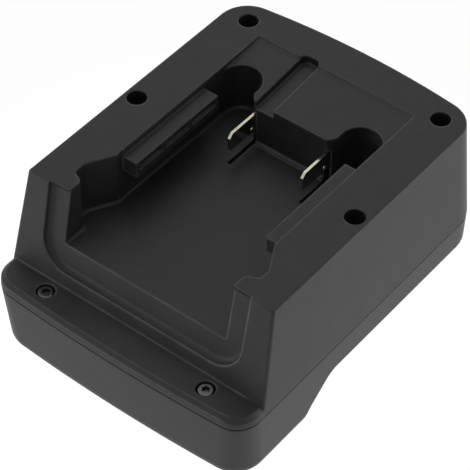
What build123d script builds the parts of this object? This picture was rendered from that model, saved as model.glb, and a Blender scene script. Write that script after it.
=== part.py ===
"""Tool battery adapter: a bay on top takes a slide-on battery pack, a tower below slides into a tool.

X is to the right, Y runs from the front ledge to the rear, Z is up.
The origin is the middle of the footprint, on the plane that the adapter rests on.
All sizes are in millimetres.
"""

import os
from math import atan, degrees

from build123d import *

os.makedirs("parts", exist_ok=True)

# Casing, outer form
width = 87.8
length = 113.8
height = 55.0
wall = 2.4
front_corner_radius = 7.5
foot_corner_radius = 10.5
front_bow = 1.6
rear_corner_radius = 12.0
rear_bow = 3.6
seam_z = 22.5
side_lean = 2.5
foot_lean = 0.8
top_edge_radius = 0.5

# Seam between the two shells
seam_gap_height = 0.35
seam_gap_depth = 0.6
tongue_height = 2.0
tongue_thickness = 1.0
tongue_clearance = 0.1
tongue_room = 0.4

# Front ledge and the face that leans back above it
ledge_rise = 3.25
ledge_depth = 10.6
ledge_edge_chamfer = 1.2
face_lean = 6.55
face_edge_radius = 0.8

# Shallow recess in that face, round the mouth of the bay
mouth_recess_half = 34.0
mouth_recess_drop = 25.0
mouth_recess_depth = 1.9
panel_rear_depth = 0.6
mouth_recess_radius = 9.0
mouth_recess_fillet = 1.4

# Bay for the pack: places along it are counted from the front edge of the top face
bay_depth = 17.7
bay_floor = 2.4
bay_fillet = 0.8
mouth_half = 27.7
notch_half = 31.4
notch_start = 5.9
notch_face = 7.2
notch_end = 10.8
notch_radius = 1.6
recess_half = 26.9
recess_depth = 2.5
recess_start = 19.1
recess_end = 81.5
recess_radius = 1.0

# Rails that the pack hangs on
rail_half = 21.9
rail_start = 21.7
rail_end = 56.6
rail_thickness = 5.2
rail_step = 0.9
rail_lip = 0.6
rail_foot = 2.2
nib_length = 1.3
nib_count = 4

# Terminal block and the latch pockets on either side of it
block_start = 61.0
block_half = 12.1
neck_half = 14.4
neck_end = 63.4
pocket_y = 65.0
plinth_depth = 0.8
plinth_height = 0.8
channel_width = 6.1
channel_depth = 2.3
channel_end = 83.4
channel_radius = 2.0

# Blades that enter the pack
blade_x = 12.6
blade_thickness = 0.8
blade_tip = 49.7
blade_drop = 7.1
blade_height = 5.9
blade_tip_chamfer = 1.3
blade_heel_chamfer = 0.6
blade_riser = 3.4
blade_clearance = 0.2
blade_post_wall = 1.2
blade_dot_radius = 0.5
tab_width = 4.8
tab_length = 8.0

# Carrier that holds the blades under the bay
carrier_half = 17.0
carrier_front = 61.5
carrier_rear = 70.6
carrier_height = 8.7
carrier_screw_x = 6.5
carrier_screw_y = 67.2
carrier_screw_sink = 3.0
carrier_boss_radius = 3.1

# Fasteners
screw_radius = 1.3
screw_hole_clearance = 0.05
screw_pass_clearance = 0.25
screw_head_radius = 2.4
screw_head_height = 1.8
screw_head_clearance = 0.3
screw_socket_radius = 1.25
screw_socket_depth = 1.0
socket_core_share = 0.72
screw_end_gap = 0.8
screw_length = 11.0
short_screw_length = 8.0
front_screw_side = 16.06
front_screw_inset = 6.41
front_screw_sink = 0.15
middle_screw_side = 6.7
middle_screw_y = 40.0
rear_screw_side = 10.6
rear_screw_inset = 11.85
corner_hole_radius = 2.95
corner_hole_floor = 4.0
boss_wall = 1.9
boss_extra = 0.8

# Underside, foot and slope: lengths counted from the front
underside_z = 12.3
underside_edge_radius = 1.2
foot_radius = 5.0
foot_length = 28.0
slope_break_length = 32.8
slope_break_z = 5.6
slope_length = 41.0
slope_radius = 7.0
heel_radius = 1.2

# Tower that slides into the tool
tower_half = 30.0
tower_neck_half = 26.0
tower_front = 40.0
tower_rear = 89.8
tower_lip = 5.0
tower_wall = 2.3
tower_corner = 2.0
tool_slot_width = 2.4
tool_slot_length = 19.5
tool_slot_height = 8.4
key_slot_width = 3.4
key_slot_depth = 1.3

# Spring contacts in the tower
contact_strip = 0.5
contact_half = 1.9
contact_pinch = 0.45
contact_front = 71.5
contact_rear = 86.4
contact_top = 9.8
contact_bottom = 3.0
contact_slit = 1.0
contact_tab_front = 54.0
tool_tab_rise = 3.6
contact_shoulder = 1.2
contact_flare = 1.6
contact_upright = 5.0

# Housing that holds the contacts
housing_half = 27.0
housing_front = 60.8
housing_rear = 89.8
housing_plate = 2.4
housing_cheek = 1.2
housing_cheek_gap = 0.4
housing_fit = 0.6
housing_screw_x = 19.0
housing_screw_y = 64.4
housing_boss_radius = 3.2

# Push-on terminals and the two leads
terminal_length = 7.0
terminal_thickness = 3.0
terminal_height = 6.2
terminal_clearance = 0.1
terminal_tab_cover = 6.0
barrel_length = 3.5
barrel_wall = 0.5
lead_radius = 1.2
lead_clearance = 0.05
lead_in_barrel = 3.0
pack_tab_drop = 3.9
lead_turn_y = 45.0

# Release latch
button_half = 14.0
button_front = 6.35
button_depth = 15.0
button_clearance = 0.3
button_inset_z = 0.6
button_height = 5.0
button_radius = 1.5
button_flange = 1.3
button_flange_height = 1.4
flange_rest_gap = 0.05
button_ridges = 5
post_x = 7.5
post_width = 6.0
post_depth = 4.0
post_shoulder = 1.0
ridge_pitch = 2.4
ridge_width = 1.0
ridge_height = 0.4
scoop_margin = 3.2
scoop_depth = 1.0
scoop_radius = 4.0
latch_half = 15.5
latch_plate = 2.5
latch_front = 9.15
latch_floor_gap = 0.5
hook_half = 12.0
hook_front = 44.75
hook_depth = 6.0
hook_drop = 4.4
hook_ramp = 3.4
hook_clearance = 0.4

# Retainer over the latch and the two return springs
retainer_y = 26.55
retainer_half_depth = 6.0
retainer_half = 20.0
retainer_leg = 2.4
retainer_plate = 2.4
retainer_foot_rise = 1.1
retainer_ear = 8.0
retainer_screw_x = 24.0
pin_radius = 1.5
pin_clearance = 0.3
spring_x = 10.0
spring_radius = 2.25
spring_wire = 0.3
spring_turns = 6
spring_room = 10.0

# Helpers for cutting and for choosing edges
overrun = 4.0
touch = 0.02

# Levels and places worked out from the sizes above
half_width = width / 2
front_y = -length / 2
rear_y = length / 2
ledge_z = seam_z + ledge_rise
face_height = height - ledge_z
hood_y = front_y + ledge_depth + face_lean
hood_draft = degrees(atan(side_lean / (height - seam_z)))
recess_z = height - recess_depth
floor_z = height - bay_depth
rail_z = recess_z - rail_thickness
pocket_x = (recess_half + neck_half) / 2
pocket_radius = (recess_half - neck_half) / 2
under_floor_z = floor_z - bay_floor
blade_z = height - blade_drop
screw_pilot_radius = screw_radius + screw_hole_clearance
screw_pass_radius = screw_radius + screw_pass_clearance
head_hole_radius = screw_head_radius + screw_head_clearance
boss_radius = screw_radius + boss_wall
inner_floor_z = underside_z + wall
retainer_foot_z = inner_floor_z + retainer_foot_rise
pack_tab_z = under_floor_z - pack_tab_drop
button_y = front_y + button_front + button_depth / 2
hook_y = front_y + hook_front + hook_depth / 2
retainer_places = [(side * retainer_screw_x, front_y + retainer_y) for side in (-1, 1)]
housing_places = [(side * housing_screw_x, hood_y + housing_screw_y) for side in (-1, 1)]
riser_rear_y = hood_y + neck_end + blade_riser - 2 * blade_clearance
riser_front_y = riser_rear_y - blade_riser
pack_tab_front_y = riser_front_y - tab_length
tool_tab_z = inner_floor_z + tool_tab_rise
barrel_mouth = terminal_length - terminal_tab_cover + barrel_length
latch_z = inner_floor_z + latch_floor_gap
spring_places = [(side * spring_x, front_y + retainer_y) for side in (-1, 1)]
retainer_z = latch_z + latch_plate + spring_room
middle_places = [(side * (half_width - middle_screw_side), hood_y + middle_screw_y) for side in (-1, 1)]
rear_places = [(side * (half_width - rear_screw_side), rear_y - rear_screw_inset) for side in (-1, 1)]
corner_places = middle_places + rear_places
front_places = [(side * (half_width - front_screw_side), front_y + front_screw_inset) for side in (-1, 1)]
corner_seat_z = seam_z + corner_hole_floor
blade_post_width = blade_thickness + 2 * (blade_clearance + blade_post_wall)
carrier_places = [(side * carrier_screw_x, hood_y + carrier_screw_y) for side in (-1, 1)]
carrier_grip = screw_length - carrier_height + carrier_screw_sink + screw_end_gap
front_seat_z = ledge_z - front_screw_sink - screw_head_height


def face_y(z, behind=0.0):
    """Where the leaning front face stands at height z, or a face that far behind it."""
    return hood_y - face_lean * (height - z) / face_height + behind


def casing_plan(inset=0.0, front_radius=front_corner_radius):
    """Outline of the casing at the seam, drawn in by a distance."""
    side = half_width - inset
    front = front_y + inset
    rear = rear_y - inset
    with BuildSketch() as plan:
        with BuildLine():
            Line((-side, rear - rear_bow), (-side, front + front_bow))
            ThreePointArc((-side, front + front_bow), (0, front), (side, front + front_bow))
            Line((side, front + front_bow), (side, rear - rear_bow))
            ThreePointArc((side, rear - rear_bow), (0, rear), (-side, rear - rear_bow))
        make_face()
        fillet(plan.vertices().group_by(Axis.Y)[0], front_radius - inset)
        fillet(plan.vertices().group_by(Axis.Y)[-1], rear_corner_radius - inset)
    return plan.sketch


def in_front_of_face(bottom_z, behind=0.0):
    """Side view of the space above a height and in front of the leaning face."""
    with BuildSketch(Plane.YZ) as view:
        with BuildLine():
            Polyline(
                (front_y - overrun, bottom_z),
                (face_y(bottom_z, behind), bottom_z),
                (face_y(height + overrun, behind), height + overrun),
                (front_y - overrun, height + overrun),
                close=True,
            )
        make_face()
    return view.sketch


def under_casing(behind=0.0):
    """Side view of the space below the slope and the underside, grown into the casing by a distance."""
    with BuildSketch(Plane.YZ) as view:
        with BuildLine():
            profile = FilletPolyline(
                (front_y + foot_length - overrun, -overrun),
                (front_y + foot_length, 0),
                (front_y + slope_break_length, slope_break_z),
                (front_y + slope_length, underside_z),
                (rear_y + overrun, underside_z),
                radius=(heel_radius, slope_radius, slope_radius),
            )
            Polyline(profile @ 1, (rear_y + overrun, -overrun), profile @ 0)
        make_face()
        if behind:
            offset(amount=behind)
    return view.sketch


def bay_plan():
    """Outline of the open bay between the rails, with its mouth, notches and latch pockets."""
    with BuildSketch() as plan:
        with BuildLine():
            side = Polyline(
                (0, hood_y - face_lean - overrun),
                (mouth_half, hood_y - face_lean - overrun),
                (mouth_half, hood_y + notch_start),
                (notch_half, hood_y + notch_face),
                (notch_half, hood_y + notch_end),
                (recess_half, hood_y + recess_start),
                (recess_half, hood_y + rail_start),
                (rail_half, hood_y + rail_start),
                (rail_half, hood_y + rail_end),
                (pocket_x + pocket_radius, hood_y + rail_end),
                (pocket_x + pocket_radius, hood_y + pocket_y),
            )
            pocket = ThreePointArc(
                side @ 1,
                (pocket_x, hood_y + pocket_y + pocket_radius),
                (pocket_x - pocket_radius, hood_y + pocket_y),
            )
            neck = Line(pocket @ 1, (neck_half, hood_y + neck_end))
            curve = ThreePointArc(
                neck @ 1,
                (neck_half - (neck_half - block_half) / 3, hood_y + (neck_end + block_start) / 2),
                (block_half, hood_y + block_start),
            )
            front = Line(curve @ 1, (0, hood_y + block_start))
            mirror([side, pocket, neck, curve, front], about=Plane.YZ)
        make_face()
        notch_corners = plan.vertices().filter_by_position(
            Axis.Y, hood_y + notch_start - touch, hood_y + notch_end + touch
        )
        fillet(notch_corners, notch_radius)
    return plan.sketch


def face_band(bottom_z, behind_from, behind_to):
    """Side view of a band parallel to the leaning face, from a height up to the top."""
    with BuildSketch(Plane.YZ) as view:
        with BuildLine():
            Polyline(
                (face_y(bottom_z, behind_from), bottom_z),
                (face_y(bottom_z, behind_to), bottom_z),
                (face_y(height, behind_to), height),
                (face_y(height, behind_from), height),
                close=True,
            )
        make_face()
    return view.sketch


def pan_screw(shank):
    """A screw with a domed head and a six-lobe socket, its seat at the origin and its head up."""
    with BuildPart() as made:
        with BuildSketch():
            Circle(screw_head_radius)
        extrude(amount=screw_head_height)
        fillet(made.edges().group_by(Axis.Z)[-1], screw_head_height / 3)
        with BuildSketch(Plane.XY.offset(screw_head_height - screw_socket_depth)):
            Circle(screw_socket_radius * socket_core_share)
            with PolarLocations(screw_socket_radius * socket_core_share, 6):
                Circle(screw_socket_radius * (1 - socket_core_share))
        extrude(amount=screw_socket_depth, mode=Mode.SUBTRACT)
        with BuildSketch():
            Circle(screw_radius)
        extrude(amount=-shank)
        chamfer(made.edges().group_by(Axis.Z)[0], screw_radius / 2)
    return made.part


def terminal(tab_front_y, tab_z):
    """A push-on terminal on the front of a right-hand tab, with its barrel to the front."""
    body_front = tab_front_y - terminal_length + terminal_tab_cover
    with BuildPart() as made:
        with BuildSketch(Plane.XZ.offset(-body_front)):
            with Locations((blade_x, tab_z)):
                RectangleRounded(terminal_thickness, terminal_height, terminal_thickness / 3)
        extrude(amount=-terminal_length)
        with BuildSketch(Plane.XZ.offset(-body_front)):
            with Locations((blade_x, tab_z)):
                Circle(lead_radius + lead_clearance + barrel_wall)
        extrude(amount=barrel_length)
        with BuildSketch(Plane.XZ.offset(-(tab_front_y - terminal_clearance))):
            with Locations((blade_x, tab_z)):
                Rectangle(
                    blade_thickness + 2 * terminal_clearance, tab_width + 2 * terminal_clearance
                )
        extrude(amount=-terminal_length, mode=Mode.SUBTRACT)
        with BuildSketch(Plane.XZ.offset(-(body_front - barrel_length))):
            with Locations((blade_x, tab_z)):
                Circle(lead_radius + lead_clearance)
        extrude(amount=-barrel_length, mode=Mode.SUBTRACT)
    return made.part


def save_pair(right_part, name):
    """Write a right-hand piece and its mirror image as two pieces."""
    with BuildPart() as left:
        mirror(right_part, about=Plane.YZ)
    for piece, side in ((right_part, "right"), (left.part, "left")):
        piece.label = f"{name}_{side}"
        export_step(piece, f"parts/{name}_{side}.step")


def above_panel(drop, start, end):
    """Side view of the space above the rails and the sloping rear panel, lowered by a drop."""
    front_z = recess_z - drop
    slope_share = (end - block_start) / (recess_end - block_start)
    end_z = front_z + (recess_depth - panel_rear_depth) * slope_share
    with BuildSketch(Plane.YZ) as view:
        with BuildLine():
            Polyline(
                (hood_y + start, front_z),
                (hood_y + block_start, front_z),
                (hood_y + end, end_z),
                (hood_y + end, height + overrun),
                (hood_y + start, height + overrun),
                close=True,
            )
        make_face()
    return view.sketch


# Hood: leaning walls behind the leaning front face
with BuildPart() as hood_form:
    with BuildSketch(Plane.XY.offset(seam_z)):
        add(casing_plan())
    extrude(amount=height - seam_z, taper=hood_draft)
    extrude(in_front_of_face(seam_z - overrun), amount=width, both=True, mode=Mode.SUBTRACT)
    face_sides = hood_form.edges().filter_by(
        lambda edge: seam_z + touch < edge.center().Z < height - touch and edge.center().Y < hood_y
    )
    fillet(face_sides, face_edge_radius)
    fillet(hood_form.edges().filter_by_position(Axis.Z, height - touch, height + touch), top_edge_radius)

# Outer form of the upper shell: the hood on the rounded block whose front is the ledge
with BuildPart() as upper_form:
    with BuildSketch(Plane.XY.offset(seam_z)):
        add(casing_plan())
    extrude(amount=ledge_rise, taper=hood_draft)
    chamfer(upper_form.faces().sort_by(Axis.Z)[-1].edges(), ledge_edge_chamfer)
    add(hood_form.part)

# Hollow of the upper shell, before its inner walls and bosses go in
with BuildPart() as upper_hollow:
    with BuildSketch(Plane.XY.offset(seam_z)):
        add(casing_plan(wall))
    extrude(amount=height - seam_z - wall, taper=hood_draft)
    extrude(in_front_of_face(ledge_z - wall, wall), amount=width, both=True, mode=Mode.SUBTRACT)

# Inner walls: the bay's tub, the rear panel, the mouth frame and the screw bosses
with BuildPart() as upper_fill:
    with BuildSketch(Plane.XY.offset(under_floor_z)):
        add(bay_plan())
        offset(amount=wall, kind=Kind.INTERSECTION)
        with Locations((0, hood_y + (rail_start + rail_end) / 2)):
            Rectangle(2 * (recess_half + wall), rail_end - rail_start)
    extrude(amount=height - under_floor_z)
    with BuildSketch(Plane.XY.offset(recess_z - wall)):
        with Locations((0, hood_y + (rail_start + recess_end) / 2)):
            Rectangle(2 * (recess_half + wall), recess_end - rail_start + 2 * wall)
    extrude(amount=recess_depth + wall)
    with BuildSketch(Plane.XY.offset(recess_z - channel_depth - wall)):
        with Locations((-block_half + channel_width / 2, hood_y + (block_start + channel_end) / 2)):
            Rectangle(channel_width + 2 * wall, channel_end - block_start + 2 * wall)
    extrude(amount=recess_depth + channel_depth + wall)
    extrude(
        face_band(height - mouth_recess_drop - wall, 0, mouth_recess_depth + wall),
        amount=mouth_recess_half + wall,
        both=True,
    )
    with BuildSketch(Plane.XY.offset(under_floor_z)):
        for side in (-1, 1):
            with Locations((side * blade_x, hood_y + (block_start + neck_end + blade_riser) / 2)):
                Rectangle(blade_post_width, neck_end + blade_riser + blade_post_wall - block_start)
        with Locations(*carrier_places):
            Circle(carrier_boss_radius)
    extrude(amount=recess_z - under_floor_z)
    with BuildSketch(Plane.XY.offset(seam_z)):
        with Locations(*corner_places):
            Circle(corner_hole_radius + boss_wall)
    extrude(amount=height - seam_z)
    with BuildSketch(Plane.XY.offset(seam_z)):
        with Locations(*front_places):
            Circle(head_hole_radius + boss_wall)
    extrude(amount=ledge_rise)
    add(upper_form.part, mode=Mode.INTERSECT)

# Space of the bay and the pockets, open at the top and at the mouth
with BuildPart() as bay_space:
    with BuildSketch(Plane.XY.offset(floor_z)):
        add(bay_plan())
    extrude(amount=bay_depth + overrun)
    with BuildSketch(Plane.XY.offset(floor_z)):
        for side in (-1, 1):
            with Locations((side * (rail_half + recess_half) / 2, hood_y + (rail_start + rail_end) / 2)):
                Rectangle(recess_half - rail_half, rail_end - rail_start)
    extrude(amount=rail_z - floor_z)
    floor_rim = bay_space.edges().filter_by_position(Axis.Z, floor_z - touch, floor_z + touch)
    fillet(floor_rim.filter_by(lambda edge: abs(edge.center().X) > touch), bay_fillet)
    with BuildSketch(Plane.XY.offset(floor_z)):
        with Locations((0, hood_y + block_start - plinth_depth / 2)):
            Rectangle(2 * (blade_x - blade_thickness - blade_clearance), plinth_depth)
    extrude(amount=plinth_height, mode=Mode.SUBTRACT)

# Recess in the leaning face round the mouth of the bay
with BuildPart() as mouth_recess:
    extrude(
        face_band(height - mouth_recess_drop, -overrun, mouth_recess_depth),
        amount=mouth_recess_half,
        both=True,
    )
    lower_corners = mouth_recess.edges().filter_by(Axis.Y).group_by(Axis.Z)[0]
    fillet(lower_corners, mouth_recess_radius)
    fillet(mouth_recess.faces().sort_by(Axis.Y)[-1].edges(), mouth_recess_fillet)

# Shallow recess over the rails and the rear panel, and the channel in the panel
with BuildPart() as panel_recess:
    extrude(above_panel(0, rail_start, recess_end), amount=recess_half, both=True)
    fillet(panel_recess.edges().filter_by(Axis.Z), recess_radius)

with BuildPart() as channel:
    extrude(above_panel(channel_depth, rail_end, channel_end), amount=channel_width / 2, both=True)
    fillet(channel.edges().filter_by(Axis.Z).group_by(Axis.Y)[-1], channel_radius)

# Upper shell
with BuildPart() as upper_shell:
    add(upper_form.part)
    add(upper_hollow.part, mode=Mode.SUBTRACT)
    add(upper_fill.part)
    add(mouth_recess.part, mode=Mode.SUBTRACT)
    add(bay_space.part, mode=Mode.SUBTRACT)

    add(panel_recess.part, mode=Mode.SUBTRACT)
    with Locations((-block_half + channel_width / 2, 0)):
        add(channel.part, mode=Mode.SUBTRACT)

    # Groove along each rail's inner side, between small nibs
    nib_pitch = (rail_end - rail_start - nib_length) / (nib_count - 1)
    with BuildSketch(Plane.XY.offset(rail_z + rail_foot)):
        for side in (-1, 1):
            for gap in range(nib_count - 1):
                gap_middle = rail_start + nib_length + (gap + 1 / 2) * nib_pitch - nib_length / 2
                with Locations((side * (rail_half + rail_step / 2), hood_y + gap_middle)):
                    Rectangle(rail_step, nib_pitch - nib_length)
    extrude(amount=rail_thickness - rail_foot - rail_lip, mode=Mode.SUBTRACT)

    # Slots that the blades rise through, in the floor and in the block
    slot_length = neck_end + blade_riser - blade_tip
    with BuildSketch(Plane.XY.offset(under_floor_z - overrun)):
        for side in (-1, 1):
            with Locations((side * blade_x, hood_y + blade_tip + slot_length / 2 - blade_clearance)):
                Rectangle(blade_thickness + 2 * blade_clearance, slot_length)
    extrude(amount=blade_z + blade_clearance - under_floor_z + overrun, mode=Mode.SUBTRACT)

    # Deep screw holes, ledge screw holes and blind holes for the carrier's screws
    with BuildSketch(Plane.XY.offset(corner_seat_z)):
        with Locations(*corner_places):
            Circle(corner_hole_radius)
    extrude(amount=height - corner_seat_z, mode=Mode.SUBTRACT)
    with BuildSketch(Plane.XY.offset(front_seat_z)):
        with Locations(*front_places):
            Circle(head_hole_radius)
    extrude(amount=height - front_seat_z, mode=Mode.SUBTRACT)
    with BuildSketch(Plane.XY.offset(seam_z)):
        with Locations(*corner_places, *front_places):
            Circle(screw_pass_radius)
    extrude(amount=corner_hole_floor, mode=Mode.SUBTRACT)
    with BuildSketch(Plane.XY.offset(under_floor_z)):
        with Locations(*carrier_places):
            Circle(screw_pilot_radius)
    extrude(amount=carrier_grip, mode=Mode.SUBTRACT)

    # Rebate for the lower shell's tongue
    with BuildSketch(Plane.XY.offset(seam_z)):
        add(casing_plan(wall - tongue_thickness - tongue_clearance))
        add(casing_plan(wall + tongue_room), mode=Mode.SUBTRACT)
    extrude(amount=tongue_height + tongue_clearance, mode=Mode.SUBTRACT)
upper_shell.part.label = "upper_shell"
export_step(upper_shell.part, "parts/upper_shell.step")

# Outer form of the lower shell: the foot at the front, the slope and the underside
with BuildPart() as lower_form:
    with BuildSketch(Plane.XY.offset(seam_z)):
        add(casing_plan())
    with BuildSketch(Plane.XY):
        add(casing_plan(foot_lean, foot_corner_radius))
    loft()
    fillet(lower_form.faces().sort_by(Axis.Z)[0].edges(), foot_radius)
    extrude(under_casing(), amount=width, both=True, mode=Mode.SUBTRACT)
    underside_rim = lower_form.edges().filter_by_position(Axis.Z, underside_z - touch, underside_z + touch)
    fillet(underside_rim.sort_by(Axis.Y)[1:], underside_edge_radius)

with BuildPart() as lower_hollow:
    with BuildSketch(Plane.XY.offset(seam_z)):
        add(casing_plan(wall))
    with BuildSketch(Plane.XY.offset(wall)):
        add(casing_plan(wall + foot_lean, foot_corner_radius))
    loft()
    extrude(under_casing(wall), amount=width, both=True, mode=Mode.SUBTRACT)

# Bosses of the lower shell for the casing screws, the retainer and the contact housing
with BuildPart() as lower_bosses:
    with BuildSketch(Plane.XY.offset(underside_z)):
        with Locations(*corner_places):
            Circle(boss_radius + boss_extra)
    extrude(amount=seam_z - underside_z)
    with BuildSketch(Plane.XY):
        with Locations(*front_places):
            Circle(boss_radius + boss_extra)
    extrude(amount=seam_z)
    with BuildSketch(Plane.XY):
        with Locations(*retainer_places):
            Circle(boss_radius)
    extrude(amount=retainer_foot_z)
    add(lower_form.part, mode=Mode.INTERSECT)
    with BuildSketch(Plane.XY.offset(tower_wall / 2)):
        with Locations(*housing_places):
            Circle(housing_boss_radius)
    extrude(amount=inner_floor_z - tower_wall / 2)

# Lower shell
with BuildPart() as lower_shell:
    add(lower_form.part)
    add(lower_hollow.part, mode=Mode.SUBTRACT)

    # Tower: neck, lip for the tool's rails, and its hollow
    with BuildSketch(Plane.XY) as tower_plan:
        with Locations((0, hood_y + (tower_front + tower_rear) / 2)):
            Rectangle(2 * tower_half, tower_rear - tower_front)
        chamfer(tower_plan.vertices(), tower_corner)
    extrude(amount=tower_lip)
    with BuildSketch(Plane.XY):
        with Locations((0, hood_y + (tower_front + tower_rear) / 2)):
            Rectangle(2 * tower_neck_half, tower_rear - tower_front)
    extrude(amount=underside_z + wall)
    with BuildSketch(Plane.XY.offset(tower_wall)):
        with Locations((0, hood_y + (tower_front + tower_rear) / 2)):
            Rectangle(2 * (tower_neck_half - tower_wall), tower_rear - tower_front - 2 * tower_wall)
    extrude(amount=inner_floor_z, mode=Mode.SUBTRACT)

    # Slots for the tool's blades, open at the tower's rear end and below, and a blind key slot
    with BuildSketch(Plane.XY):
        for side in (-1, 1):
            with Locations((side * blade_x, hood_y + tower_rear - tool_slot_length / 2)):
                Rectangle(tool_slot_width, tool_slot_length)
    extrude(amount=tool_slot_height, mode=Mode.SUBTRACT)
    with BuildSketch(Plane.XY):
        with Locations((0, hood_y + tower_rear - tool_slot_length / 2)):
            Rectangle(key_slot_width, tool_slot_length)
    extrude(amount=key_slot_depth, mode=Mode.SUBTRACT)

    add(lower_bosses.part)

    # Blind holes for the screws
    for places, top_z, grip in (
        (corner_places, seam_z, screw_length - corner_hole_floor + screw_end_gap),
        (front_places, seam_z, seam_z - front_seat_z + screw_length + screw_end_gap),
        (retainer_places, retainer_foot_z, short_screw_length - retainer_plate + screw_end_gap),
        (housing_places, inner_floor_z, short_screw_length - housing_plate + screw_end_gap),
    ):
        with BuildSketch(Plane.XY.offset(top_z - grip)):
            with Locations(*places):
                Circle(screw_pilot_radius)
        extrude(amount=grip, mode=Mode.SUBTRACT)

    # Finger scoop and opening for the release button, and the opening for the hook
    with BuildSketch(Plane.XY):
        with Locations((0, button_y)):
            RectangleRounded(2 * (button_half + scoop_margin), button_depth + 2 * scoop_margin, scoop_radius)
    extrude(amount=scoop_depth, mode=Mode.SUBTRACT)
    with BuildSketch(Plane.XY):
        with Locations((0, button_y)):
            RectangleRounded(
                2 * (button_half + button_clearance), button_depth + 2 * button_clearance, button_radius
            )
    extrude(amount=wall + touch, mode=Mode.SUBTRACT)
    with BuildSketch(Plane.XY):
        with Locations((0, hook_y)):
            Rectangle(2 * (hook_half + hook_clearance), hook_depth + 2 * hook_clearance)
    extrude(amount=inner_floor_z + touch, mode=Mode.SUBTRACT)

    # Tongue inside the seam, and the fine gap that shows round the casing
    with BuildSketch(Plane.XY.offset(seam_z - wall)):
        add(casing_plan(wall - tongue_thickness))
        add(casing_plan(wall), mode=Mode.SUBTRACT)
    extrude(amount=wall + tongue_height)
    with BuildSketch(Plane.XY.offset(seam_z - seam_gap_height)):
        add(casing_plan(-overrun))
        add(casing_plan(seam_gap_depth), mode=Mode.SUBTRACT)
    extrude(amount=seam_gap_height, mode=Mode.SUBTRACT)
lower_shell.part.label = "lower_shell"
export_step(lower_shell.part, "parts/lower_shell.step")

# Blades for the pack: a flat C of sheet with a prong in the bay and a tab below the floor
with BuildPart() as pack_blade:
    with BuildSketch(Plane.YZ.offset(blade_x - blade_thickness / 2)) as blade_side:
        with BuildLine():
            Polyline(
                (riser_rear_y, blade_z),
                (hood_y + blade_tip, blade_z),
                (hood_y + blade_tip, blade_z - blade_height),
                (riser_front_y, blade_z - blade_height),
                (riser_front_y, pack_tab_z + tab_width / 2),
                (pack_tab_front_y, pack_tab_z + tab_width / 2),
                (pack_tab_front_y, pack_tab_z - tab_width / 2),
                (riser_rear_y, pack_tab_z - tab_width / 2),
                close=True,
            )
        make_face()
        prong_end = blade_side.vertices().group_by(Axis.X)[0].sort_by(Axis.Y)
        chamfer(prong_end[-1], blade_tip_chamfer)
        chamfer(prong_end[0], blade_heel_chamfer)
        dot_in = 3 * blade_dot_radius
        with Locations((hood_y + block_start - dot_in, blade_z - blade_height + dot_in)):
            Circle(blade_dot_radius, mode=Mode.SUBTRACT)
    extrude(amount=blade_thickness)
save_pair(pack_blade.part, "pack_blade")

# Carrier below the bay: a block with a seat for each blade, screwed up into the block's bosses
with BuildPart() as blade_carrier:
    with BuildSketch(Plane.XY.offset(under_floor_z - carrier_height)) as carrier_plan:
        with Locations((0, hood_y + (carrier_front + carrier_rear) / 2)):
            Rectangle(2 * carrier_half, carrier_rear - carrier_front)
        chamfer(carrier_plan.vertices(), blade_post_wall)
    extrude(amount=carrier_height)
    seat_front_y = hood_y + carrier_front
    seat_rear_y = riser_rear_y + screw_hole_clearance
    with BuildSketch(Plane.XY.offset(pack_tab_z - tab_width / 2)):
        for side in (-1, 1):
            with Locations((side * blade_x, (seat_front_y + seat_rear_y) / 2)):
                Rectangle(blade_thickness + 2 * terminal_clearance, seat_rear_y - seat_front_y)
    extrude(amount=carrier_height, mode=Mode.SUBTRACT)
    with BuildSketch(Plane.XY.offset(under_floor_z - carrier_height)):
        with Locations(*carrier_places):
            Circle(screw_pass_radius)
    extrude(amount=carrier_height, mode=Mode.SUBTRACT)
    with BuildSketch(Plane.XY.offset(under_floor_z - carrier_height)):
        with Locations(*carrier_places):
            Circle(head_hole_radius)
    extrude(amount=carrier_screw_sink, mode=Mode.SUBTRACT)
blade_carrier.part.label = "blade_carrier"
export_step(blade_carrier.part, "parts/blade_carrier.step")

# Spring contacts for the tool's blades: two pinched leaves, a slit into fingers, and a tab
with BuildPart() as tool_contact:
    leaf_line_z = contact_top - contact_strip / 2
    with BuildSketch(Plane.XZ.offset(-(hood_y + contact_rear))):
        with BuildLine() as leaves:
            half = Polyline(
                (blade_x, leaf_line_z),
                (blade_x + contact_half, leaf_line_z),
                (blade_x + contact_half, leaf_line_z - contact_shoulder),
                (blade_x + contact_pinch, contact_bottom + contact_flare),
                (blade_x + contact_half, contact_bottom),
            )
            mirror(half, about=Plane.YZ.offset(blade_x))
        trace(line_width=contact_strip)
    extrude(amount=contact_rear - contact_front)
    slit_middle_z = (contact_bottom + leaf_line_z - contact_shoulder) / 2
    with BuildSketch(Plane.YZ.offset(blade_x - contact_half - contact_strip)):
        with Locations((hood_y + (contact_front + contact_rear) / 2, slit_middle_z)):
            Rectangle(contact_slit, leaf_line_z - contact_bottom)
    extrude(amount=2 * (contact_half + contact_strip), mode=Mode.SUBTRACT)
    with BuildSketch(Plane.YZ.offset(blade_x - blade_thickness / 2)):
        with BuildLine():
            Polyline(
                (hood_y + contact_front + contact_strip, contact_top - contact_strip),
                (hood_y + contact_front + contact_strip, tool_tab_z + tab_width / 2),
                (hood_y + contact_tab_front, tool_tab_z + tab_width / 2),
                (hood_y + contact_tab_front, tool_tab_z - tab_width / 2),
                (hood_y + contact_front - contact_upright, tool_tab_z - tab_width / 2),
                (hood_y + contact_front - contact_upright, contact_top - contact_strip),
                close=True,
            )
        make_face()
    extrude(amount=blade_thickness)
save_pair(tool_contact.part, "tool_contact")

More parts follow.
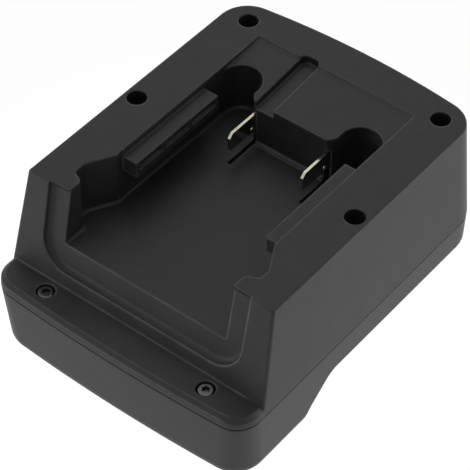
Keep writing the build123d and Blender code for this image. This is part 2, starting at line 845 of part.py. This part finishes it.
# Housing that holds the spring contacts in the tower
with BuildPart() as contact_housing:
    with BuildSketch(Plane.XY.offset(inner_floor_z)) as plate_plan:
        with Locations((0, hood_y + (housing_front + housing_rear) / 2)):
            Rectangle(2 * housing_half, housing_rear - housing_front)
        chamfer(plate_plan.vertices(), tower_corner)
    extrude(amount=housing_plate)
    housing_body_z = contact_top + terminal_clearance
    body_front_y = housing_screw_y + housing_boss_radius + housing_fit
    body_rear_y = tower_rear - tower_wall - housing_fit
    with BuildSketch(Plane.XY.offset(housing_body_z)):
        with Locations((0, hood_y + (body_front_y + body_rear_y) / 2)):
            Rectangle(2 * (tower_neck_half - tower_wall - housing_fit), body_rear_y - body_front_y)
    extrude(amount=inner_floor_z - housing_body_z)
    with BuildSketch(Plane.XY.offset(contact_bottom)):
        for side in (-1, 1):
            for cheek in (-1, 1):
                cheek_x = contact_half + contact_strip / 2 + housing_cheek_gap + housing_cheek / 2
                with Locations(
                    (side * blade_x + cheek * cheek_x, hood_y + (contact_front + contact_rear) / 2)
                ):
                    Rectangle(housing_cheek, contact_rear - contact_front)
    extrude(amount=housing_body_z - contact_bottom)
    with BuildSketch(Plane.XY.offset(housing_body_z)):
        for side in (-1, 1):
            notch_rear = contact_front + contact_strip + terminal_clearance
            with Locations((side * blade_x, hood_y + (housing_front + notch_rear) / 2)):
                Rectangle(blade_thickness + 2 * terminal_clearance, notch_rear - housing_front)
    extrude(amount=inner_floor_z + housing_plate - housing_body_z, mode=Mode.SUBTRACT)
    with BuildSketch(Plane.XY.offset(inner_floor_z)):
        with Locations(*housing_places):
            Circle(screw_pass_radius)
    extrude(amount=housing_plate, mode=Mode.SUBTRACT)
contact_housing.part.label = "contact_housing"
export_step(contact_housing.part, "parts/contact_housing.step")

# Push-on terminals on the four tabs
save_pair(terminal(pack_tab_front_y, pack_tab_z), "pack_terminal")
save_pair(terminal(hood_y + contact_tab_front, tool_tab_z), "tool_terminal")

# Leads: one turn each, from the blade's terminal back to the contact's terminal
lead_turn_radius = (pack_tab_z - tool_tab_z) / 2
with BuildPart() as lead:
    with BuildLine():
        upper_run = Line(
            (blade_x, pack_tab_front_y - barrel_mouth + lead_in_barrel, pack_tab_z),
            (blade_x, hood_y + lead_turn_y, pack_tab_z),
        )
        turn = ThreePointArc(
            upper_run @ 1,
            (blade_x, hood_y + lead_turn_y - lead_turn_radius, tool_tab_z + lead_turn_radius),
            (blade_x, hood_y + lead_turn_y, tool_tab_z),
        )
        tool_end_y = hood_y + contact_tab_front - barrel_mouth + lead_in_barrel
        Line(turn @ 1, (blade_x, tool_end_y, tool_tab_z))
    with BuildSketch(Plane(origin=upper_run @ 0, z_dir=upper_run % 0)):
        Circle(lead_radius)
    sweep()
save_pair(lead.part, "lead")

# Release button: cap in the foot, flange that stops it, and posts into the latch slide
with BuildPart() as release_button:
    with BuildSketch(Plane.XY.offset(button_inset_z)):
        with Locations((0, button_y)):
            RectangleRounded(2 * button_half, button_depth, button_radius)
    extrude(amount=button_height)
    fillet(release_button.faces().sort_by(Axis.Z)[0].edges(), button_radius / 2)
    with BuildSketch(Plane.XY.offset(button_inset_z)):
        with GridLocations(0, ridge_pitch, 1, button_ridges - 1):
            with Locations((0, button_y)):
                Rectangle(2 * button_half - 4 * button_radius, ridge_width)
    extrude(amount=ridge_height, mode=Mode.SUBTRACT)
    with BuildSketch(Plane.XY.offset(wall + flange_rest_gap)):
        with Locations((0, button_y)):
            RectangleRounded(
                2 * (button_half + button_flange), button_depth + 2 * button_flange, button_radius
            )
    extrude(amount=button_flange_height)
    with BuildSketch(Plane.XY.offset(button_inset_z + button_height)):
        with Locations((-post_x, button_y), (post_x, button_y)):
            Rectangle(post_width + 2 * post_shoulder, post_depth + 2 * post_shoulder)
    extrude(amount=latch_z - button_inset_z - button_height)
    with BuildSketch(Plane.XY.offset(latch_z)):
        with Locations((-post_x, button_y), (post_x, button_y)):
            Rectangle(post_width, post_depth)
    extrude(amount=latch_plate + post_shoulder)
release_button.part.label = "release_button"
export_step(release_button.part, "parts/release_button.step")

# Latch slide: a plate over the button that ends in the hook
with BuildPart() as latch_slide:
    with BuildSketch(Plane.XY.offset(latch_z)) as latch_plan:
        latch_rear_y = front_y + hook_front + hook_depth
        with Locations((0, (front_y + latch_front + latch_rear_y) / 2)):
            Rectangle(2 * latch_half, latch_rear_y - front_y - latch_front)
        fillet(latch_plan.vertices(), button_radius)
        with Locations((-post_x, button_y), (post_x, button_y)):
            Rectangle(
                post_width + 2 * terminal_clearance,
                post_depth + 2 * terminal_clearance,
                mode=Mode.SUBTRACT,
            )
        with Locations(*spring_places):
            Circle(pin_radius + pin_clearance, mode=Mode.SUBTRACT)
    extrude(amount=latch_plate)
    with BuildSketch(Plane.YZ):
        with BuildLine():
            hook_tip_z = underside_z - hook_drop
            Polyline(
                (front_y + hook_front, latch_z),
                (front_y + hook_front, hook_tip_z),
                (latch_rear_y - hook_ramp, hook_tip_z),
                (latch_rear_y, hook_tip_z + hook_ramp),
                (latch_rear_y, latch_z),
                close=True,
            )
        make_face()
    extrude(amount=hook_half, both=True)
latch_slide.part.label = "latch_slide"
export_step(latch_slide.part, "parts/latch_slide.step")

# Retainer: a bridge over the slide with two pins that guide it
with BuildPart() as latch_retainer:
    with BuildSketch(Plane.XY.offset(retainer_z)):
        with Locations((0, front_y + retainer_y)):
            Rectangle(2 * retainer_half, 2 * retainer_half_depth)
    extrude(amount=retainer_plate)
    with BuildSketch(Plane.XY.offset(retainer_foot_z)):
        for side in (-1, 1):
            with Locations((side * (retainer_half - retainer_leg / 2), front_y + retainer_y)):
                Rectangle(retainer_leg, 2 * retainer_half_depth)
    extrude(amount=retainer_z - retainer_foot_z)
    with BuildSketch(Plane.XY.offset(retainer_foot_z)):
        for side in (-1, 1):
            with Locations((side * (retainer_half + retainer_ear / 2), front_y + retainer_y)):
                Rectangle(retainer_ear, 2 * retainer_half_depth)
        with Locations(*retainer_places):
            Circle(screw_pass_radius, mode=Mode.SUBTRACT)
    extrude(amount=retainer_plate)
    with BuildSketch(Plane.XY.offset(latch_z + pin_clearance)):
        with Locations(*spring_places):
            Circle(pin_radius)
    extrude(amount=retainer_z - latch_z - pin_clearance)
latch_retainer.part.label = "latch_retainer"
export_step(latch_retainer.part, "parts/latch_retainer.step")

# Return springs, each one wire wound round a pin
spring_bottom_z = latch_z + latch_plate + spring_wire
spring_height = spring_room - 2 * spring_wire
with BuildPart() as latch_spring:
    with BuildLine():
        coil = Helix(
            pitch=spring_height / spring_turns,
            height=spring_height,
            radius=spring_radius,
            center=(spring_x, front_y + retainer_y, spring_bottom_z),
        )
    with BuildSketch(Plane(origin=coil @ 0, z_dir=coil % 0)):
        Circle(spring_wire)
    sweep()
save_pair(latch_spring.part, "latch_spring")
print("least gap between spring turns", round(spring_height / spring_turns - 2 * spring_wire, 3))

# Screws, each kind of place as one group
long_screw = pan_screw(screw_length)
with BuildPart() as front_screws:
    with Locations(*[(x, y, front_seat_z) for x, y in front_places]):
        add(long_screw)
front_screws.part.label = "front_screws"
export_step(front_screws.part, "parts/front_screws.step")

with BuildPart() as corner_screws:
    with Locations(*[(x, y, corner_seat_z) for x, y in corner_places]):
        add(long_screw)
corner_screws.part.label = "corner_screws"
export_step(corner_screws.part, "parts/corner_screws.step")

carrier_seat_z = under_floor_z - carrier_height + carrier_screw_sink
with BuildPart() as carrier_screws:
    with Locations(*[(x, y, carrier_seat_z) for x, y in carrier_places]):
        add(long_screw, rotation=(180, 0, 0))
carrier_screws.part.label = "carrier_screws"
export_step(carrier_screws.part, "parts/carrier_screws.step")

short_screw = pan_screw(short_screw_length)
with BuildPart() as retainer_screws:
    with Locations(*[(x, y, retainer_foot_z + retainer_plate) for x, y in retainer_places]):
        add(short_screw)
retainer_screws.part.label = "retainer_screws"
export_step(retainer_screws.part, "parts/retainer_screws.step")

with BuildPart() as housing_screws:
    with Locations(*[(x, y, inner_floor_z + housing_plate) for x, y in housing_places]):
        add(short_screw)
housing_screws.part.label = "housing_screws"
export_step(housing_screws.part, "parts/housing_screws.step")
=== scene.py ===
"""Looks of the tool battery adapter: materials, return springs, floor, lights and camera.

All lengths are in metres, in the frame of the part.
"""

import bpy
from mathutils import Matrix, Vector


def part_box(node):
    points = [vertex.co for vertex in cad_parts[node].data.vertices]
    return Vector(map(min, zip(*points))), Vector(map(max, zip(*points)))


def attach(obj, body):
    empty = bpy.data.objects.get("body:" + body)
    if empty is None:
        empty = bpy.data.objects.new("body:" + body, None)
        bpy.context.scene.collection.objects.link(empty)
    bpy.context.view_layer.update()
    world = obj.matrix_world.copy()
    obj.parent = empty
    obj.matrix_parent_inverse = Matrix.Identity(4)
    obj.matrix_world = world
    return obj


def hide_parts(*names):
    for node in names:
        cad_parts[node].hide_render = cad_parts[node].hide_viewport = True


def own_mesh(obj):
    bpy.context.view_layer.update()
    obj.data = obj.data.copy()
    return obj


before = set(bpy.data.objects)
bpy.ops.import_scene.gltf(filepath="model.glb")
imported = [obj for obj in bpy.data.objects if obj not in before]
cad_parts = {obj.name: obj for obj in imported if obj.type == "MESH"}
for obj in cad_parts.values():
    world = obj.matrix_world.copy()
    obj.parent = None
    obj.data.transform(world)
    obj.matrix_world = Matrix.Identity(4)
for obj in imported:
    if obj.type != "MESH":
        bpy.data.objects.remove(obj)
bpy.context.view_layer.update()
shell_low, shell_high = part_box("upper_shell")
scene = bpy.context.scene

# Plastic: grain, blotches and specks
grain_size = 0.0003
grain_detail = 3.0
grain_relief_share = 1 / 3
blotch_scale = 110.0
blotch_detail = 4.0
blotch_share = 0.22
blotch_low = 0.3
blotch_high = 0.7
speck_scale = 900.0
speck_detail = 1.0
speck_start = 0.76
speck_full = 0.84
speck_strength = 0.3
plastic_rough_spread = 0.06
plastic_specular = 0.25

# Plastic: painted highlights on the edges, found by how far a rounded normal leaves the flat one
edge_radius = 0.001
edge_samples = 6
edge_start = 0.985
edge_full = 0.9
edge_strength = 1.7
highlight_and_speck_gain = 2.2
highlight_and_speck_lift = 0.13
faces_right = 0.5
faces_ahead = 0.2
right_highlight_share = 0.5

# Plastic: painted shade in the seam groove and a painted dark reflection on the casing's outer right
# edges, in place of the edge highlights
seam_z = shell_low[2]
seam_shade_width = 0.0004
seam_shade_strength = 0.85
off_seam_start = 0.0008
off_seam_end = 0.0014
outer_inset = 0.004
outer_x = shell_high[0] - outer_inset
outer_band = 0.003
outer_dark_reflection = 0.5
# Dark colour of the painted shade in the seam and of the painted dark reflection on the outer right
# edges
painted_shade_colour = (0.002, 0.002, 0.002, 1)

# Metal: drawn lines
line_scale = 8.0
line_detail = 5.0
line_shade_share = 0.72
line_low = 0.25
line_high = 0.75
line_relief = 0.00005
line_bump = 0.1
drawn = (400.0, 60.0, 400.0)
turned = (120.0, 120.0, 120.0)
metal_smoother = 0.08
metal_rougher = 0.1

# Floor and world
floor_reach = 3.0
floor_drop = 0.0002
floor_grey = (0.8, 0.8, 0.8, 1)
floor_rough = 0.9
floor_glow_share = 0.75
floor_white_share = 0.98
glow_start = 0.08
glow_end = 0.3
glow_near = 1.1
glow_far = 0.35
horizon = (0.15, 0.15, 0.15, 1)
ceiling = (0.12, 0.12, 0.12, 1)
ceiling_height = 0.25
white = (1, 1, 1, 1)

# Lamps: name, place, aim, power in watts, width and height
middle = (0, 0, 0.04)
foot = (0, 0, 0.02)
lamps = [
    ("overhead", (-0.3, 0.2, 1.1), middle, 2.7, 1.0, 1.0),
    ("right", (1.0, 0.8, 0.05), middle, 9.0, 0.4, 0.1),
    ("left", (-0.4, -0.5, 0.02), foot, 0.9, 0.4, 0.04),
]

# Camera, solved from the photograph: its place and its three axes
camera_place = (0.2656, -0.33785, 0.465)
camera_right = (0.7833, 0.6216, 0.0)
camera_up = (-0.4448, 0.5605, 0.6984)
camera_back = (0.4342, -0.5471, 0.7156)
sensor_width = 36.0
focal_length = 169.64
far_clip = 10.0


def feed(tree, source, socket):
    """Join a node's output to a socket, or set the socket to a number."""
    if isinstance(source, bpy.types.NodeSocket):
        tree.links.new(source, socket)
    else:
        socket.default_value = source


def maths(tree, operation, first, second, clamp=False):
    """The result of an operation on two values."""
    node = tree.nodes.new("ShaderNodeMath")
    node.operation = operation
    node.use_clamp = clamp
    feed(tree, first, node.inputs[0])
    feed(tree, second, node.inputs[1])
    return node.outputs["Value"]


def times(tree, first, second):
    """The product of two values, held between 0 and 1."""
    return maths(tree, "MULTIPLY", first, second, clamp=True)


def remap(tree, source, start, end, low=0.0, high=1.0):
    """A value that goes from low to high as the source goes from start to end."""
    node = tree.nodes.new("ShaderNodeMapRange")
    node.inputs["From Min"].default_value = start
    node.inputs["From Max"].default_value = end
    node.inputs["To Min"].default_value = low
    node.inputs["To Max"].default_value = high
    tree.links.new(source, node.inputs["Value"])
    return node.outputs["Result"]


def noise(tree, place, scale, detail):
    """Noise with a number of features to the metre."""
    node = tree.nodes.new("ShaderNodeTexNoise")
    node.inputs["Scale"].default_value = scale
    node.inputs["Detail"].default_value = detail
    tree.links.new(place, node.inputs["Vector"])
    return node.outputs["Fac"]


def ramp(tree, source, stops, interpolation="LINEAR"):
    """A colour between two stops, each a position and a colour."""
    node = tree.nodes.new("ShaderNodeValToRGB")
    node.color_ramp.interpolation = interpolation
    for element, (position, colour) in zip(node.color_ramp.elements, stops):
        element.position = position
        element.color = colour
    tree.links.new(source, node.inputs["Fac"])
    return node.outputs["Color"]


def split(tree, vector):
    """The outputs X, Y and Z of a vector."""
    node = tree.nodes.new("ShaderNodeSeparateXYZ")
    tree.links.new(vector, node.inputs["Vector"])
    return node.outputs


def blend_colours(tree, factor, first, second):
    """The first colour, going over to the second, which is plain."""
    node = tree.nodes.new("ShaderNodeMix")
    node.data_type = "RGBA"
    tree.links.new(factor, node.inputs["Factor"])
    tree.links.new(first, node.inputs[6])
    node.inputs[7].default_value = second
    return node.outputs[2]


def blend_shaders(tree, factor, first, second):
    """The first shader, going over to the second."""
    node = tree.nodes.new("ShaderNodeMixShader")
    tree.links.new(factor, node.inputs["Fac"])
    tree.links.new(first, node.inputs[1])
    tree.links.new(second, node.inputs[2])
    return node.outputs["Shader"]


def relief(tree, height, strength, distance):
    """A bump node."""
    node = tree.nodes.new("ShaderNodeBump")
    node.inputs["Strength"].default_value = strength
    node.inputs["Distance"].default_value = distance
    tree.links.new(height, node.inputs["Height"])
    return node


def coordinates(tree, kind):
    """Object or Generated coordinates."""
    return tree.nodes.new("ShaderNodeTexCoord").outputs[kind]


def background_rays(tree):
    """1 for camera, glossy and transmission rays, which show the white background."""
    path = tree.nodes.new("ShaderNodeLightPath")
    shown = maths(tree, "MAXIMUM", path.outputs["Is Camera Ray"], path.outputs["Is Glossy Ray"])
    return maths(tree, "MAXIMUM", shown, path.outputs["Is Transmission Ray"])


def new_material(name):
    """A material with its node tree and its shader."""
    made = bpy.data.materials.new(name)
    made.use_nodes = True
    return made, made.node_tree, made.node_tree.nodes["Principled BSDF"]


def plastic(name, base, rough, bump=0.25):
    """Moulded plastic with fine grain, soft blotches, specks of dust, painted edge highlights, painted
    shade in the seam and a painted dark reflection on the outer right edges.
    """
    made, tree, shader = new_material(name)
    place = coordinates(tree, "Object")
    blotches = noise(tree, place, blotch_scale, blotch_detail)
    darkest = (*[c * (1 - blotch_share) for c in base], 1)
    lightest = (*[c * (1 + blotch_share) for c in base], 1)
    tone = ramp(tree, blotches, [(blotch_low, darkest), (blotch_high, lightest)])

    # Specks: the few highest points of a second noise
    dots = noise(tree, place, speck_scale, speck_detail)
    specks = remap(tree, dots, speck_start, speck_full, high=speck_strength)

    # Edges: where the rounded normal leaves the flat one
    rounded = tree.nodes.new("ShaderNodeBevel")
    rounded.samples = edge_samples
    rounded.inputs["Radius"].default_value = edge_radius
    geometry = tree.nodes.new("ShaderNodeNewGeometry")
    same = tree.nodes.new("ShaderNodeVectorMath")
    same.operation = "DOT_PRODUCT"
    tree.links.new(rounded.outputs["Normal"], same.inputs[0])
    tree.links.new(geometry.outputs["Normal"], same.inputs[1])
    edges = remap(tree, same.outputs["Value"], edge_start, edge_full, high=edge_strength)

    # Painted edge highlights: broken up by the blotches, weaker on edges that face right, none at the
    # dark places
    from_seam = maths(tree, "ABSOLUTE", maths(tree, "SUBTRACT", split(tree, place)["Z"], seam_z), 0.0)
    off_seam = remap(tree, from_seam, off_seam_start, off_seam_end)
    across = split(tree, place)["X"]
    inward = remap(tree, across, outer_x, outer_x - outer_band)
    facing = split(tree, rounded.outputs["Normal"])["X"]
    other_ways = remap(tree, facing, faces_right, faces_ahead, low=right_highlight_share)
    broken = times(tree, times(tree, edges, blotches), other_ways)
    # Painted highlights along the edges, kept off the outer right band and the seam
    edge_highlights = times(tree, broken, times(tree, inward, off_seam))
    highlights_and_specks = maths(tree, "MAXIMUM", edge_highlights, specks)
    # One paler colour for the painted edge highlights and the dust specks
    highlight_and_speck_colour = (*[c * highlight_and_speck_gain + highlight_and_speck_lift for c in base], 1)
    paler = blend_colours(tree, highlights_and_specks, tone, highlight_and_speck_colour)

    # Dark places: painted shade in the seam groove, and a painted dark reflection on the outer right
    # edges
    # Painted shade along the seam groove
    seam_painted_shade = remap(tree, from_seam, seam_shade_width / 2, seam_shade_width, low=seam_shade_strength, high=0.0)
    # Painted dark reflection along the outer right edges of the casing
    outward = remap(tree, across, outer_x - outer_band, outer_x, high=outer_dark_reflection)
    outer_edges = times(tree, times(tree, edges, outward), off_seam)
    dark = maths(tree, "MAXIMUM", seam_painted_shade, outer_edges)
    tree.links.new(blend_colours(tree, dark, paler, painted_shade_colour), shader.inputs["Base Color"])

    spread = remap(tree, blotches, 0.0, 1.0, rough - plastic_rough_spread, rough + plastic_rough_spread)
    tree.links.new(spread, shader.inputs["Roughness"])
    grain = noise(tree, place, 1 / grain_size, grain_detail)
    bumps = relief(tree, grain, bump, grain_size * grain_relief_share)
    tree.links.new(rounded.outputs["Normal"], bumps.inputs["Normal"])
    tree.links.new(bumps.outputs["Normal"], shader.inputs["Normal"])
    shader.inputs["Specular IOR Level"].default_value = plastic_specular
    return made


def metal(name, base, rough, scratch=drawn):
    """Metal with drawn lines and a slight relief."""
    made, tree, shader = new_material(name)
    shader.inputs["Metallic"].default_value = 1.0
    stretch = tree.nodes.new("ShaderNodeMapping")
    stretch.inputs["Scale"].default_value = scratch
    tree.links.new(coordinates(tree, "Object"), stretch.inputs["Vector"])
    lines = noise(tree, stretch.outputs["Vector"], line_scale, line_detail)
    shade = (*[c * line_shade_share for c in base], 1)
    tone = ramp(tree, lines, [(line_low, shade), (line_high, (*base, 1))])
    tree.links.new(tone, shader.inputs["Base Color"])
    spread = remap(tree, lines, 0.0, 1.0, rough - metal_smoother, rough + metal_rougher)
    tree.links.new(spread, shader.inputs["Roughness"])
    bumps = relief(tree, lines, line_bump, line_relief)
    tree.links.new(bumps.outputs["Normal"], shader.inputs["Normal"])
    return made


def lamp(name, place, aim, power, wide, tall):
    """A soft lamp that faces a point."""
    data = bpy.data.lights.new(name, "AREA")
    data.shape = "RECTANGLE"
    data.energy = power
    data.size = wide
    data.size_y = tall
    made = bpy.data.objects.new(name, data)
    made.location = place
    made.rotation_euler = (Vector(aim) - Vector(place)).to_track_quat("-Z", "Y").to_euler()
    scene.collection.objects.link(made)


casing_top = plastic("casing_top", (0.030, 0.0305, 0.0315), 0.5)
casing_bottom = plastic("casing_bottom", (0.031, 0.0315, 0.0325), 0.5)
inner = plastic("inner_plastic", (0.05, 0.05, 0.053), 0.55)
latch = plastic("latch_plastic", (0.05, 0.05, 0.05), 0.45)
button = plastic("button_plastic", (0.055, 0.055, 0.057), 0.5)
blade = metal("blade_metal", (0.55, 0.52, 0.42), 0.16)
contact = metal("contact_metal", (0.72, 0.5, 0.3), 0.32)
brass = metal("terminal_metal", (0.75, 0.64, 0.42), 0.3)
screw = metal("screw_steel", (0.08, 0.08, 0.083), 0.3, turned)
spring = metal("spring_steel", (0.6, 0.6, 0.62), 0.28)
red = plastic("lead_red", (0.5, 0.03, 0.02), 0.45, bump=0.08)
black = plastic("lead_black", (0.03, 0.03, 0.03), 0.45, bump=0.08)

finishes = {
    "upper_shell": casing_top,
    "lower_shell": casing_bottom,
    "pack_blade_left": blade,
    "pack_blade_right": blade,
    "blade_carrier": inner,
    "carrier_screws": screw,
    "tool_contact_left": contact,
    "tool_contact_right": contact,
    "contact_housing": inner,
    "housing_screws": screw,
    "pack_terminal_left": brass,
    "pack_terminal_right": brass,
    "tool_terminal_left": brass,
    "tool_terminal_right": brass,
    "lead_left": black,
    "lead_right": red,
    "latch_slide": latch,
    "release_button": button,
    "latch_spring_left": spring,
    "latch_spring_right": spring,
    "latch_retainer": inner,
    "retainer_screws": screw,
    "front_screws": screw,
    "corner_screws": screw,
}
for node, finish in finishes.items():
    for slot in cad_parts[node].material_slots:
        slot.material = finish

# The return springs: each a copy of its spring part, attached to the casing, with the part hidden
for side in ("left", "right"):
    node = "latch_spring_" + side
    coil = bpy.data.objects.new("return_spring_" + side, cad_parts[node].data.copy())
    scene.collection.objects.link(coil)
    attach(coil, "casing")
    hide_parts(node)
    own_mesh(coil)

# Floor: white for the camera, and for the light a glow that fades with the distance
corners = [(x * floor_reach, y * floor_reach, 0) for x, y in ((-1, -1), (1, -1), (1, 1), (-1, 1))]
floor_mesh = bpy.data.meshes.new("floor")
floor_mesh.from_pydata(corners, [], [(0, 1, 2, 3)])
floor = bpy.data.objects.new("floor", floor_mesh)
floor.location.z = -floor_drop
scene.collection.objects.link(floor)
floor_finish, tree, matt = new_material("floor")
matt.inputs["Base Color"].default_value = floor_grey
matt.inputs["Roughness"].default_value = floor_rough
seen = background_rays(tree)
away = tree.nodes.new("ShaderNodeVectorMath")
away.operation = "LENGTH"
tree.links.new(coordinates(tree, "Object"), away.inputs[0])
fade = remap(tree, away.outputs["Value"], glow_start, glow_end, glow_near, glow_far)
glow = tree.nodes.new("ShaderNodeEmission")
tree.links.new(maths(tree, "MAXIMUM", fade, seen), glow.inputs["Strength"])
share = remap(tree, seen, 0.0, 1.0, floor_glow_share, floor_white_share)
surface = blend_shaders(tree, share, matt.outputs["BSDF"], glow.outputs["Emission"])
tree.links.new(surface, tree.nodes["Material Output"].inputs["Surface"])
floor_mesh.materials.append(floor_finish)

# World: white for the camera, and for the light a horizon a little brighter than the ceiling
world = bpy.data.worlds.new("studio")
scene.world = world
world.use_nodes = True
tree = world.node_tree
lit = tree.nodes["Background"]
rise = split(tree, coordinates(tree, "Generated"))["Z"]
sky = ramp(tree, rise, [(0.0, horizon), (ceiling_height, ceiling)], "EASE")
tree.links.new(sky, lit.inputs["Color"])
clear = tree.nodes.new("ShaderNodeBackground")
clear.inputs["Color"].default_value = white
surface = blend_shaders(
    tree, background_rays(tree), lit.outputs["Background"], clear.outputs["Background"]
)
tree.links.new(surface, tree.nodes["World Output"].inputs["Surface"])

for each in lamps:
    lamp(*each)

camera_data = bpy.data.cameras.new("camera")
camera_data.sensor_width = sensor_width
camera_data.lens = focal_length
camera_data.clip_end = far_clip
camera = bpy.data.objects.new("camera", camera_data)
turn = Matrix((camera_right, camera_up, camera_back)).transposed().to_4x4()
camera.matrix_world = Matrix.Translation(camera_place) @ turn
scene.collection.objects.link(camera)
bpy.context.scene.camera = camera
scene.view_settings.view_transform = "Standard"
